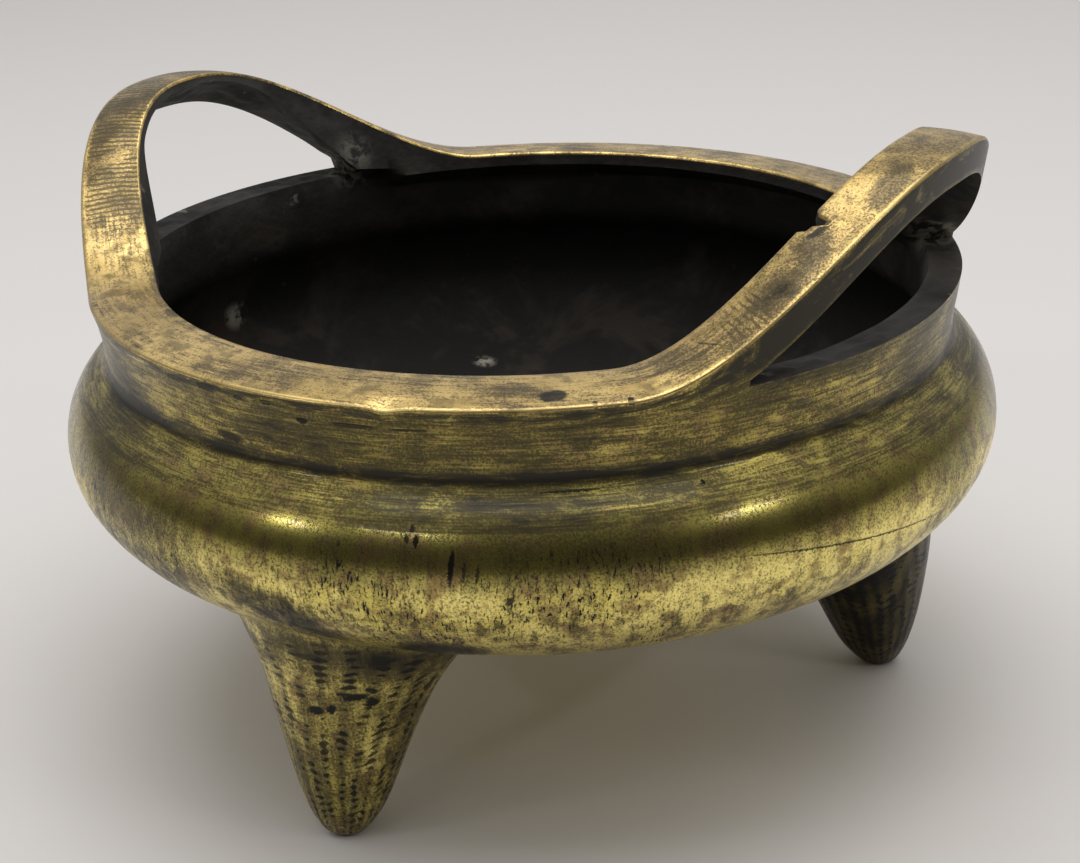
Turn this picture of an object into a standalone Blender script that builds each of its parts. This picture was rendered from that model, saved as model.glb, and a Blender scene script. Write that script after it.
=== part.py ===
"""Round bronze censer on three feet with two loop handles rising from its lip.

One casting: a round bowl with a waisted neck and a broad flat lip, hollow and
empty. The lip lifts into two arches, left and right, each clear of a low ledge.
The front foot points at -Y, the handles stand at +X and -X, and +Z is up. The
origin is the middle of the overall box, on the ground.
"""
import math

import bmesh
import bpy

# Remove the start-up objects
for startObject in list(bpy.data.objects):
    bpy.data.objects.remove(startObject, do_unlink=True)

# Bowl, in metres, measured at its widest
bellyRadius = 0.110
bellyHeight = 0.0743
shoulderReach = 0.0284
shoulderRise = 0.0239
underReach = 0.0423
underDrop = 0.0264
underPower = 2.09
floorSag = 0.0017
floorBow = 0.0006
wallThickness = 0.0050

# Neck; its foot cuts off the top of the shoulder, and it stands in from the lip's outer edge
neckFootDrop = 0.0046
neckFootInset = 0.0018
waistRise = 0.0049
waistInset = 0.0022
neckTopRise = 0.0110
neckTopInset = 0.0014
neckWall = 0.0066
junctionClear = 0.0008

# Lip, in from the belly's widest; its face climbs inwards
lipInset = 0.0086
lipWidth = 0.0156
lipRise = 0.0166
lipSlope = 0.0013
lipEdge = 0.0008
bandThickness = 0.0078
lipUnderside = 0.0034

# Ledge left below each handle, a little lower than the lip
ledgeDrop = 0.0025

# Loop handles: turn about +Z, height of the arch, outward lean
handleSpan = math.radians(47.2)
archPower = 1.2
rightHandle = (math.radians(0.0), 0.0361, 0.212)
leftHandle = (math.radians(176.9), 0.0302, 0.576)
handleNarrowing = 0.06
handleInnerEdge = 0.0022

# Gap under each arch; the left one ends early in a heavy web at its back root
gapTip = 0.0012
gapSteps = 26
gapTurnStep = math.radians(0.1)
slopeStep = 0.01
gapInward = 0.0158
gapOutward = 0.0266
gapInnerClear = 0.004
gapDepthClear = 0.0015
ledgeBevelIn = 0.0012
ledgeBevelOut = 0.0008
webStart = math.radians(5)
webEnd = math.radians(25)
webThickness = 0.0066

# Feet
footTurns = (math.radians(270), math.radians(30), math.radians(150))
footSides = 24

# Old chip in the inner edge of the right handle
chipTurn = math.radians(-20.8)
chipWidth = 0.0044
chipDepth = 0.0026
chipBelow = 0.004
chipAbove = 0.006

# The left arch leans out further, so the bowl's axis stands off the middle of the box
axisOffset = 0.00345

# Steps round the bowl
turnSteps = 96

# Edges sharper than this stay crisp, and corners closer than this are one
sharpAngle = math.radians(38)
weldDistance = 0.00005

# Radii that follow from the sizes above
shoulderCentre = bellyRadius - shoulderReach
underCentre = bellyRadius - underReach
lipOuterRadius = bellyRadius - lipInset
lipInnerRadius = lipOuterRadius - lipWidth
neckFootRadius = lipOuterRadius - neckFootInset
waistRadius = lipOuterRadius - waistInset
neckTopRadius = lipOuterRadius - neckTopInset
ledgeInnerRadius = waistRadius - neckWall

# Heights above the ground that follow from the sizes above
floorHeight = bellyHeight - underDrop - floorSag
neckFootHeight = bellyHeight + shoulderRise - neckFootDrop
waistHeight = neckFootHeight + waistRise
neckTopHeight = neckFootHeight + neckTopRise
lipOuterHeight = neckFootHeight + lipRise
lipInnerHeight = lipOuterHeight + lipSlope
ledgeHeight = lipInnerHeight - ledgeDrop


def archRise(turn, handle):
    """Height added to the lip at an angle round the bowl."""
    middle, height, _ = handle
    away = math.remainder(turn - middle, 2 * math.pi)
    share = min(abs(away) / handleSpan, 1.0)
    return height * math.cos(math.pi / 2 * share ** archPower) ** 2


def lipLift(turn, outer):
    """Rise of the lip and its sideways lean as x, y, z; the outer edge leans less."""
    shift = [0.0, 0.0, 0.0]
    for handle in (rightHandle, leftHandle):
        rise = archRise(turn, handle)
        lean = handle[2] - outer * handleNarrowing
        shift[0] += lean * rise * math.cos(handle[0])
        shift[1] += lean * rise * math.sin(handle[0])
        shift[2] += rise
    return shift


def quarterArc(centre, half, base, height, power, steps):
    """Points of a quarter arc from its widest point to its end."""
    points = []
    for step in range(1, steps + 1):
        angle = math.pi / 2 * step / steps
        radius = centre + half * math.cos(angle) ** (2 / power)
        points.append((radius, base + height * math.sin(angle) ** (2 / power)))
    return points


def bowlOutline(inset, underSteps, shoulderSteps):
    """Radius and height from the middle of the floor to the top of the shoulder."""
    half = bellyRadius - inset - underCentre
    under = quarterArc(underCentre, half, bellyHeight, inset - underDrop, underPower, underSteps)
    half = bellyRadius - inset - shoulderCentre
    shoulder = quarterArc(shoulderCentre, half, bellyHeight, shoulderRise - inset, 2, shoulderSteps)
    floor = [(0.0, floorHeight + inset), (underCentre / 2, floorHeight + inset + floorBow)]
    return floor + under[::-1] + [(bellyRadius - inset, bellyHeight)] + shoulder


def turnedSolid(name, outline, lifted):
    """Turn an outline about +Z; rings numbered in lifted follow the lip."""
    mesh = bmesh.new()
    rings = []
    for number, (radius, height) in enumerate(outline):
        if radius == 0.0:
            rings.append([mesh.verts.new((0.0, 0.0, height))])
            continue
        ring = []
        for step in range(turnSteps):
            turn = 2 * math.pi * step / turnSteps
            outer = radius > ledgeInnerRadius
            lift = lipLift(turn, outer) if number in lifted else (0.0, 0.0, 0.0)
            x = radius * math.cos(turn) + lift[0]
            y = radius * math.sin(turn) + lift[1]
            ring.append(mesh.verts.new((x, y, height + lift[2])))
        rings.append(ring)
    for lower, upper in zip(rings, rings[1:]):
        for step in range(turnSteps):
            after = (step + 1) % turnSteps
            if len(lower) == 1:
                mesh.faces.new((lower[0], upper[after], upper[step]))
            elif len(upper) == 1:
                mesh.faces.new((lower[step], lower[after], upper[0]))
            else:
                mesh.faces.new((lower[step], lower[after], upper[after], upper[step]))
    return finishMesh(name, mesh)


def finishMesh(name, mesh):
    """Close a bmesh into a named object with its walls facing out."""
    bmesh.ops.recalc_face_normals(mesh, faces=mesh.faces)
    data = bpy.data.meshes.new(name)
    mesh.to_mesh(data)
    mesh.free()
    thing = bpy.data.objects.new(name, data)
    bpy.context.scene.collection.objects.link(thing)
    return thing


def footSolid(name, turn):
    """A tapering foot, loft of circles, its root sunk in the bowl."""
    # Height, radius and distance of each circle from the axis, by belly radius
    circles = (
        (0.000, 0.028, 0.772), (0.010, 0.046, 0.770), (0.030, 0.062, 0.766),
        (0.060, 0.080, 0.760), (0.120, 0.103, 0.752), (0.200, 0.129, 0.739),
        (0.300, 0.165, 0.714), (0.360, 0.194, 0.688), (0.410, 0.228, 0.660),
        (0.450, 0.253, 0.642), (0.500, 0.262, 0.622), (0.560, 0.250, 0.600),
    )
    mesh = bmesh.new()
    rings = []
    for height, radius, reach in circles:
        ring = []
        for side in range(footSides):
            angle = 2 * math.pi * side / footSides
            along = bellyRadius * (reach + radius * math.cos(angle))
            across = bellyRadius * radius * math.sin(angle)
            x = along * math.cos(turn) - across * math.sin(turn)
            y = along * math.sin(turn) + across * math.cos(turn)
            ring.append(mesh.verts.new((x, y, bellyRadius * height)))
        rings.append(ring)
    for lower, upper in zip(rings, rings[1:]):
        for side in range(footSides):
            after = (side + 1) % footSides
            mesh.faces.new((lower[side], lower[after], upper[after], upper[side]))
    mesh.faces.new(rings[0][::-1])
    mesh.faces.new(rings[-1])
    return finishMesh(name, mesh)


def archUnderside(away, handle):
    """Height of the arch's underside at an angle away from its middle."""
    rise = archRise(handle[0] + away, handle)
    beyond = archRise(handle[0] + away + slopeStep, handle)
    slope = (beyond - rise) / (slopeStep * ledgeInnerRadius)
    stretch = math.hypot(1.0, slope)
    web = 0.0
    if handle is leftHandle and away < -webStart:
        web = webThickness * ((-away - webStart) / (webEnd - webStart)) ** 2
    outer = lipOuterHeight + rise - (bandThickness + web) * stretch
    inner = lipInnerHeight + rise - (handleInnerEdge + web) * stretch
    return outer, max(inner, outer)


def gapCutter(name, handle):
    """The space between one arch and the ledge below it."""
    middle, _, lean = handle
    ends = []
    for side in (-1, 1):
        away = side * handleSpan
        while archUnderside(away, handle)[0] < ledgeHeight + gapTip:
            away -= side * gapTurnStep
        ends.append(away)
    deep = lipInnerHeight - bandThickness - gapDepthClear
    near = lipInnerRadius - gapInward
    far = lipOuterRadius + gapOutward
    mesh = bmesh.new()
    rings = []
    for step in range(gapSteps + 1):
        away = ends[0] + (ends[1] - ends[0]) * step / gapSteps
        outer, inner = archUnderside(away, handle)
        shift = lean * archRise(middle + away, handle)
        fall = (inner - outer) / (lipOuterRadius - lipInnerRadius)
        crest = inner + gapInnerClear * fall
        corners = (
            (near, deep), (ledgeInnerRadius - ledgeBevelIn, deep),
            (ledgeInnerRadius + ledgeBevelOut, ledgeHeight), (far, ledgeHeight), (far, outer),
            (lipOuterRadius, outer), (lipInnerRadius - gapInnerClear, crest), (near, crest),
        )
        ring = []
        for number, (radius, height) in enumerate(corners):
            pushed = shift if number > 3 else 0.0
            x = radius * math.cos(middle + away) + pushed * math.cos(middle)
            y = radius * math.sin(middle + away) + pushed * math.sin(middle)
            ring.append(mesh.verts.new((x, y, height)))
        rings.append(ring)
    for before, after in zip(rings, rings[1:]):
        for corner in range(len(before)):
            beyond = (corner + 1) % len(before)
            mesh.faces.new((before[corner], before[beyond], after[beyond], after[corner]))
    caps = (mesh.faces.new(rings[0]), mesh.faces.new(rings[-1][::-1]))
    bmesh.ops.triangulate(mesh, faces=caps)
    return finishMesh(name, mesh)


def chipCutter(name):
    """Wedge that bites the inner edge of the right handle."""
    # Depth in the edge and place along it, by chipDepth and half chipWidth
    outline = ((-1.5, 1.2), (0.5, 0.9), (1.0, 0.2), (0.7, -0.7), (-1.5, -1.0))
    middle, _, lean = rightHandle
    turn = middle + chipTurn
    rise = archRise(turn, rightHandle)
    edge = (lipInnerRadius * math.cos(turn) + lean * rise, lipInnerRadius * math.sin(turn))
    mesh = bmesh.new()
    rings = []
    for height in (-chipBelow, chipAbove):
        ring = []
        for depth, along in outline:
            inward = chipDepth * depth
            sideways = chipWidth / 2 * along
            x = edge[0] + inward * math.cos(turn) - sideways * math.sin(turn)
            y = edge[1] + inward * math.sin(turn) + sideways * math.cos(turn)
            ring.append(mesh.verts.new((x, y, lipInnerHeight + rise + height)))
        rings.append(ring)
    low, high = rings
    for corner in range(len(outline)):
        beyond = (corner + 1) % len(outline)
        mesh.faces.new((low[corner], low[beyond], high[beyond], high[corner]))
    mesh.faces.new(low[::-1])
    mesh.faces.new(high)
    return finishMesh(name, mesh)


def combine(target, tool, operation):
    """Apply one boolean step and drop the tool."""
    tool.display_type = "WIRE"
    tool.hide_render = True
    step = target.modifiers.new(operation.lower(), "BOOLEAN")
    step.operation = operation
    step.solver = "EXACT"
    step.object = tool
    bpy.context.view_layer.objects.active = target
    bpy.ops.object.modifier_apply(modifier=step.name)
    bpy.data.objects.remove(tool, do_unlink=True)


# Wall of the bowl, neck and lip in one outline, from the underside round to the floor
outside = bowlOutline(0.0, 9, 6)
cutOff = neckFootRadius + junctionClear
outside = [point for point in outside if point[1] < bellyHeight or point[0] > cutOff]
outside += [(neckFootRadius, neckFootHeight), (waistRadius, waistHeight), (neckTopRadius, neckTopHeight)]
lip = [
    (lipOuterRadius, lipOuterHeight - lipEdge), (lipOuterRadius - lipEdge, lipOuterHeight),
    (lipInnerRadius + lipEdge, lipInnerHeight), (lipInnerRadius, lipInnerHeight - lipEdge),
]
underLip = lipInnerHeight - bandThickness
inside = bowlOutline(wallThickness, 6, 4)
cutOff = ledgeInnerRadius + junctionClear
inside = [point for point in inside if point[1] < bellyHeight or point[0] > cutOff]
inside += [(ledgeInnerRadius, neckFootHeight), (ledgeInnerRadius, underLip)]
inside += [(lipInnerRadius, lipInnerHeight - lipUnderside)]
lifted = range(len(outside), len(outside) + len(lip))
censer = turnedSolid("censer", outside + lip + inside[::-1], lifted)

# Three feet, each ending halfway through the wall
for number, turn in enumerate(footTurns):
    foot = footSolid("foot" + str(number), turn)
    core = bowlOutline(wallThickness / 2, 6, 0) + [(0.0, bellyHeight)]
    combine(foot, turnedSolid("core", core, ()), "DIFFERENCE")
    combine(censer, foot, "UNION")

# Gaps under the two arches and the old chip
combine(censer, gapCutter("right gap", rightHandle), "DIFFERENCE")
combine(censer, gapCutter("left gap", leftHandle), "DIFFERENCE")
combine(censer, chipCutter("chip"), "DIFFERENCE")

# Join coincident corners and shade the round walls smooth
clean = bmesh.new()
clean.from_mesh(censer.data)
bmesh.ops.remove_doubles(clean, verts=clean.verts, dist=weldDistance)
bmesh.ops.translate(clean, verts=clean.verts, vec=(axisOffset, 0.0, 0.0))
for edge in clean.edges:
    edge.smooth = len(edge.link_faces) == 2 and edge.calc_face_angle(0.0) < sharpAngle
for face in clean.faces:
    face.smooth = True
clean.to_mesh(censer.data)
clean.free()

# Old brass-coloured bronze
bronze = bpy.data.materials.new("bronze")
bronze.use_nodes = True
surface = bronze.node_tree.nodes["Principled BSDF"]
surface.inputs["Base Color"].default_value = (0.33, 0.24, 0.09, 1.0)
surface.inputs["Roughness"].default_value = 0.42
surface.inputs["Metallic"].default_value = 1.0
censer.data.materials.clear()
censer.data.materials.append(bronze)
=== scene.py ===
import math

import bpy
import numpy as np
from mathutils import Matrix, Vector, noise


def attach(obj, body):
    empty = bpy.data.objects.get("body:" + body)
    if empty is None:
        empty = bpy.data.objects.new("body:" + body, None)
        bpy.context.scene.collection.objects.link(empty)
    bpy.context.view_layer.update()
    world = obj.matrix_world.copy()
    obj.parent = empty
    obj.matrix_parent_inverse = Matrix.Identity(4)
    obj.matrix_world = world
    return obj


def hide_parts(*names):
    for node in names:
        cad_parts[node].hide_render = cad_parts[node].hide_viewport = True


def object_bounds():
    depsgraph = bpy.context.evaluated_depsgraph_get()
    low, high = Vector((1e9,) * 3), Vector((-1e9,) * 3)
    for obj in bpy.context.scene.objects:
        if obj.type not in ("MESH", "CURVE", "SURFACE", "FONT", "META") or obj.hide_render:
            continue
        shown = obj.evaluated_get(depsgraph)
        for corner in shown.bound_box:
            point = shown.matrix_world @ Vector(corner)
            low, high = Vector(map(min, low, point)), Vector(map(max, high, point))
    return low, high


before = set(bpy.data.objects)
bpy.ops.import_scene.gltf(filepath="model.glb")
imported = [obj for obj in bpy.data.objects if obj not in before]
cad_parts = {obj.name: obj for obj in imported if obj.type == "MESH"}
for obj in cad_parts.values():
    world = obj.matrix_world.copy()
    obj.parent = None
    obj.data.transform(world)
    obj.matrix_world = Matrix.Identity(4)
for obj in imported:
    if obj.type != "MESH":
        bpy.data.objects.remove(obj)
cadLow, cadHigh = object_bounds()
bellyRadius = (cadHigh.y - cadLow.y) / 2    # the solid is as deep as its belly is wide
print("frame loaded, belly radius", round(bellyRadius, 4))


# Bowl, in metres; heights are from the floor
bowl = {
    "axisX": 0.00345,    # the left handle leans out further, so the axis stands off the middle
    "bellyHeight": 0.0743,
    "shoulderReach": 0.0284, "shoulderRise": 0.0239,
    "underReach": 0.0423, "underDrop": 0.0264, "underPower": 2.09,
    "floorSag": 0.0017,
    "wall": 0.0050,
    "neckFoot": (0.0996, 0.0936), "waist": (0.0992, 0.0985), "neckTop": (0.1000, 0.1046),
    # degrees up the shoulder, outside and inside, and radii down the inner floor
    "shoulderAngles": (12, 24, 36, 46), "insideAngles": (55, 45, 33, 20, 8),
    "insideFloorRadii": (0.050, 0.032, 0.016, 0.004), "insideCurvePoints": 11,
    "calmRadius": 0.060,    # nearer the middle the inner floor is smoother
}
lip = {
    "outer": (0.1014, 0.1102), "inner": (0.0858, 0.1115),
    "edge": 0.0008, "crown": 0.0003, "overhang": 0.0034,
    "ledgeInner": 0.0926, "ledgeTop": 0.0934, "ledgeHeight": 0.1090, "ledgeRoot": 0.1037,
    "rowSpacing": 0.93, "biteFrom": 0.66, "dentTo": 0.28,    # by share of the way across the face
}
handles = {
    "right": {"middle": math.radians(0.0), "height": 0.0361, "lean": 0.212, "web": 0.0, "tip": 0.0012},
    "left": {"middle": math.radians(176.9), "height": 0.0302, "lean": 0.576, "web": 0.0052, "tip": 0.0024},
    "span": math.radians(47.2), "power": 1.2, "narrowing": 0.06,
    "band": 0.0078, "innerEdge": 0.0022,
    "webStart": math.radians(5), "webEnd": math.radians(25),
    "rootBlend": math.radians(13), "lipBlend": math.radians(9),
    # rise at which a handle's finish begins and is full, and above which its inside is less sooty
    "finishFrom": 0.004, "finishTo": 0.016, "clearRise": 0.003, "clearSoot": 0.7,
    # unevenness of the ledges and of the handles' undersides
    "ledgeRipple": 0.0011, "underRipple": 0.0016, "rippleScale": 240,
}
feet = {
    "turns": [math.radians(a) for a in (270, 30, 150)],
    "centre": 0.600, "spread": 0.360, "pinch": 0.30, "fillet": 0.055,
    "finishFrom": -0.06, "finishTo": 0.10,    # how far a foot's finish runs up the bowl, by belly radius
    # radius of each ring, its height and its distance from the axis, by belly radius
    "rings": [
        (0.000, 0.000, 0.772), (0.024, 0.000, 0.772), (0.046, 0.010, 0.770), (0.062, 0.030, 0.766),
        (0.080, 0.060, 0.760), (0.103, 0.120, 0.752), (0.129, 0.200, 0.739), (0.165, 0.300, 0.714),
        (0.194, 0.360, 0.688), (0.228, 0.410, 0.660), (0.253, 0.450, 0.642), (0.272, 0.500, 0.630),
        (0.300, 0.600, 0.616), (0.360, 0.820, 0.600),
    ],
}
# Old damage: a bite in the right handle's inner edge and a dent in the lip's outer edge
damage = {
    "chipTurn": math.radians(-20.8), "chipWidth": 0.0050, "chipDepth": 0.0054,
    # outline of the bite: places along it in half widths, and shares of its depth
    "chipAlong": [-0.96, -0.80, -0.30, 0.05, 0.52, 0.60, 1.02],
    "chipBite": [0.0, 0.34, 0.42, 1.0, 0.92, 0.30, 0.0],
    "dentTurn": math.radians(285.6), "dentHalf": 0.0030, "dentDepth": 0.0007,
}
# How bright each edge of the lip is rubbed
edgeWear = {
    "ledge": 0.75, "bandFoot": 0.35, "bandTop": 0.70, "bandTopFrom": 0.93,
    "outer": 1.0, "outerFade": 0.25, "inner": 0.85, "innerFade": 0.30, "innerBand": 0.30,
    "rim": 0.62, "rimOuterTo": 0.09, "rimInnerFrom": 0.93,
}
# How uneven each part is cast
castRough = {
    "bowl": 1.0, "neckEnd": 0.6, "tip": 0.3, "band": 0.6, "face": 0.5, "innerBand": 0.5,
    "ledge": 0.8, "gapEnd": 0.4,
}
# Lengths along the outside of the lip, on from the end of the neck
curtain = {"ledgeRun": 0.0040, "tipRun": 0.0045, "bandRun": 0.0050, "bandLength": 0.0040}
# How finely the surface is divided
density = {
    "column": math.radians(0.78), "chipColumn": math.radians(0.2), "chipWindow": math.radians(2.6),
    "poleFrom": 0.0035, "poleTo": 0.0215,
    "poleRows": 6, "floorRows": 34, "underRows": 42, "shoulderRows": 18, "neckRows": 10,
    "tipRows": 3, "bandRows": 8, "edgeRows": 4, "faceRows": 15, "innerRows": 3,
    "flareRows": 4, "crossSteps": 10, "insideRows": 40,
}

sides = ("right", "left")
underCentre = bellyRadius - bowl["underReach"]
shoulderCentre = bellyRadius - bowl["shoulderReach"]
floorHeight = bowl["bellyHeight"] - bowl["underDrop"] - bowl["floorSag"]


def smoothStep(low, high, value):
    share = np.clip((value - low) / (high - low), 0.0, 1.0)
    return share * share * (3 - 2 * share)


def turnFrom(turn, middle):
    # angle from a middle to a turn, by the shorter way round
    return (turn - middle + math.pi) % (2 * math.pi) - math.pi


def runAlong(points):
    # length along a line, at each of its points
    return np.concatenate(([0.0], np.cumsum(np.linalg.norm(np.diff(points, axis=0), axis=1))))


def partWay(low, high, share):
    return low + (high - low) * share


def risingShares(count):
    return [step / count for step in range(1, count + 1)]


def smoothCurve(xs, ys, at):
    # one smooth curve through the given points, without overshoot at flat stretches
    xs = np.asarray(xs, float)
    ys = np.asarray(ys, float)
    steps = np.diff(xs)
    slopes = np.diff(ys) / steps
    tangents = np.concatenate(([slopes[0]], (slopes[:-1] + slopes[1:]) / 2, [slopes[-1]]))
    flat = slopes[:-1] * slopes[1:] <= 0
    tangents[1:-1][flat] = 0.0
    at = np.clip(at, xs[0], xs[-1])
    part = np.clip(np.searchsorted(xs, at, side="right") - 1, 0, len(steps) - 1)
    t = (at - xs[part]) / steps[part]
    h = steps[part]
    start = (2 * t**3 - 3 * t**2 + 1) * ys[part] + (t**3 - 2 * t**2 + t) * h * tangents[part]
    end = (3 * t**2 - 2 * t**3) * ys[part + 1] + (t**3 - t**2) * h * tangents[part + 1]
    return start + end


def undersideHeight(radius, inset=0.0):
    # height of the bowl's underside at a distance from its axis
    power = bowl["underPower"]
    flat = np.clip(radius / underCentre, 0.0, 1.0)
    out = np.clip((radius - underCentre) / (bowl["underReach"] - inset), 0.0, 1.0)
    sag = bowl["floorSag"] * flat**2 * (3 - 2 * flat)
    curl = (bowl["underDrop"] - inset) * (1 - (1 - out**power) ** (1 / power))
    return floorHeight + inset + sag + curl


def plantFeet(x, y):
    # draws the underside down into three feet; returns its points, how far each is foot,
    # and its place round and up that foot
    rings = np.array(feet["rings"]) * bellyRadius
    spread = feet["spread"] * bellyRadius
    fillet = feet["fillet"] * bellyRadius
    newX, newY = x.copy(), y.copy()
    height = undersideHeight(np.hypot(x, y))
    share = np.zeros_like(x)
    wrap = np.zeros((len(x), 3))
    for turn in feet["turns"]:
        ahead = np.array([math.cos(turn), math.sin(turn)])
        dx = x - feet["centre"] * bellyRadius * ahead[0]
        dy = y - feet["centre"] * bellyRadius * ahead[1]
        away = np.hypot(dx, dy)
        near = away < spread
        ring = away * (1 - feet["pinch"] * (1 - away / spread) ** 2)
        reach = smoothCurve(rings[:, 0], rings[:, 2], ring)
        safe = np.maximum(away, 1e-9)
        px = reach * ahead[0] + ring * dx / safe
        py = reach * ahead[1] + ring * dy / safe
        foot = smoothCurve(rings[:, 0], rings[:, 1], ring)
        body = undersideHeight(np.hypot(px, py))
        mix = np.clip(0.5 + 0.5 * (body - foot) / fillet, 0.0, 1.0)
        z = body * (1 - mix) + foot * mix - fillet * mix * (1 - mix)
        newX[near], newY[near], height[near] = px[near], py[near], z[near]
        share[near] = smoothStep(feet["finishFrom"], feet["finishTo"], (body - foot)[near] / bellyRadius)
        along = (dx * ahead[0] + dy * ahead[1]) / safe
        across = (dy * ahead[0] - dx * ahead[1]) / safe
        wrap[near] = np.stack([along, across, z / bellyRadius], -1)[near]
    return np.stack([newX, newY, height], -1), share, wrap


def archRise(turn, handle):
    share = np.minimum(np.abs(turnFrom(turn, handle["middle"])) / handles["span"], 1.0)
    return handle["height"] * np.cos(math.pi / 2 * share ** handles["power"]) ** 2


def archUnderside(turn, handle):
    # heights of the band's lower edge outside and inside; the left one is heavy at its back root
    step = 0.01
    rise = archRise(turn, handle)
    slope = (archRise(turn + step, handle) - rise) / (step * lip["ledgeInner"])
    stretch = np.hypot(1.0, slope)
    away = turnFrom(turn, handle["middle"])
    part = np.maximum(0.0, -away - handles["webStart"]) / (handles["webEnd"] - handles["webStart"])
    web = handle["web"] * part**2
    outer = lip["outer"][1] + rise - (handles["band"] + web) * stretch
    inner = lip["inner"][1] + rise - (handles["innerEdge"] + web) * stretch
    return outer, np.maximum(inner, outer)


def gapEnds(handle):
    # the two turns where the gap under a handle ends
    step = math.radians(0.1)
    ends = []
    for side in (-1, 1):
        away = side * handles["span"]
        while archUnderside(handle["middle"] + away, handle)[0] < lip["ledgeHeight"] + handle["tip"]:
            away -= side * step
        ends.append(handle["middle"] + away)
    return ends


def spreadTurns():
    # columns round the bowl, with one at each end of the gaps and closer ones by the chip
    chip = handles["right"]["middle"] + damage["chipTurn"]
    window = (chip - density["chipWindow"], chip + density["chipWindow"])
    anchors = sorted(gapEnds(handles["right"]) + gapEnds(handles["left"]) + list(window))
    turns = []
    for start, end in zip(anchors, anchors[1:] + [anchors[0] + 2 * math.pi]):
        spacing = density["chipColumn"] if abs(start - window[0]) < 1e-9 else density["column"]
        count = 2 * math.ceil((end - start) / spacing / 2)
        turns += [start + (end - start) * step / count for step in range(count)]
    return np.array(turns)


turns = spreadTurns()
columnCount = len(turns)
cosTurn, sinTurn = np.cos(turns), np.sin(turns)
riseEach = {side: archRise(turns, handles[side]) for side in sides}
rise = riseEach["right"] + riseEach["left"]


def nearestColumn(turn):
    return int(np.argmin(np.abs(turnFrom(turns, turn))))


def ringPoints(radius, height, shiftX=0.0, shiftY=0.0):
    # one point for each column
    x, y = radius * cosTurn + shiftX, radius * sinTurn + shiftY
    return np.stack([x, y, np.zeros(columnCount) + height], -1)


gapColumns = {}
for side in sides:
    first, last = (nearestColumn(end) for end in gapEnds(handles[side]))
    count = (last - first) % columnCount + 1
    gapColumns[side] = (first + np.arange(count)) % columnCount
inGap = np.zeros(columnCount, bool)
for columns in gapColumns.values():
    inGap[columns[1:-1]] = True

# Length along the lip's middle line from the back, for marks that follow the band
middleLine = ringPoints((lip["outer"][0] + lip["inner"][0]) / 2, rise)
backColumn = nearestColumn(math.pi / 2)
lipRun = np.roll(runAlong(np.roll(middleLine, -backColumn, axis=0)), backColumn)


def leanShift(outerShare):
    # sideways lean of the lip; its outer edge leans a little less
    x = np.zeros(columnCount)
    y = np.zeros(columnCount)
    for side in sides:
        handle = handles[side]
        push = (handle["lean"] - outerShare * handles["narrowing"]) * riseEach[side]
        x += push * math.cos(handle["middle"])
        y += push * math.sin(handle["middle"])
    return x, y


def chipBite():
    centre = handles["right"]["middle"] + damage["chipTurn"]
    along = turnFrom(turns, centre) * lip["inner"][0] / (damage["chipWidth"] / 2)
    return damage["chipDepth"] * np.interp(along, damage["chipAlong"], damage["chipBite"], 0.0, 0.0)


def dentDrop():
    away = turnFrom(turns, damage["dentTurn"])
    return damage["dentDepth"] * np.exp(-(away * lip["outer"][0] / damage["dentHalf"]) ** 2)


bellyTopRun = 0.0125    # streaks of the shoulder end here and upright pits of the belly begin
rows = []    # each row is one ring of points with what the finishes need to know about it
marks = ("foot", "wear", "soot", "across", "arch", "rough")


def addRow(points, run=0.0, wrap=None, **values):
    row = {"points": points, "run": np.full(columnCount, float(run))}
    row["wrap"] = np.zeros((columnCount, 3)) if wrap is None else wrap
    for mark in marks:
        row[mark] = np.zeros(columnCount) + values.get(mark, 0.0)
    rows.append(row)
    return len(rows) - 1


# Underside, from the middle of the floor out to the widest of the belly
poleRadii = list(np.linspace(density["poleFrom"], density["poleTo"], density["poleRows"]))
floorRadii = list(np.linspace(density["poleTo"], underCentre, density["floorRows"] + 1)[1:])
arcAngles = np.linspace(math.pi / 2, 0.0, density["underRows"] + 1)[1:]
arcRadii = list(underCentre + bowl["underReach"] * np.cos(arcAngles) ** (2 / bowl["underPower"]))
underRadii = np.array(poleRadii + floorRadii + arcRadii)
underRuns = runAlong(np.stack([underRadii, undersideHeight(underRadii)], -1))
for radius, run in zip(underRadii, underRuns - underRuns[-1]):
    points, share, wrap = plantFeet(radius * cosTurn, radius * sinTurn)
    addRow(points, run=run, wrap=wrap, foot=share, rough=castRough["bowl"])

# Shoulder and waisted neck, one smooth curve
sidePoints = [(bellyRadius, bowl["bellyHeight"])]
for angle in np.radians(bowl["shoulderAngles"]):
    radius = shoulderCentre + bowl["shoulderReach"] * math.cos(angle)
    sidePoints.append((radius, bowl["bellyHeight"] + bowl["shoulderRise"] * math.sin(angle)))
sidePoints = np.array(sidePoints + [bowl["neckFoot"], bowl["waist"], bowl["neckTop"]])
sideRun = runAlong(sidePoints)
grooveRun, neckEndRun = sideRun[-3], sideRun[-1]
rowRuns = list(np.linspace(0.0, grooveRun, density["shoulderRows"] + 1)[1:])
rowRuns += list(np.linspace(grooveRun, neckEndRun, density["neckRows"] + 1)[1:])
# the belly's widest is also its steepest, so the curve starts straight up from a point below it
below = 0.002
curveRun = [-below, *sideRun]
curveRadii = smoothCurve(curveRun, [bellyRadius, *sidePoints[:, 0]], rowRuns)
curveHeights = smoothCurve(curveRun, [bowl["bellyHeight"] - below, *sidePoints[:, 1]], rowRuns)
for radius, height, run in zip(curveRadii, curveHeights, rowRuns):
    neckRow = addRow(ringPoints(radius, height), run=run, rough=castRough["bowl"])
print("bowl and feet:", len(rows), "rows of", columnCount)

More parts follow.
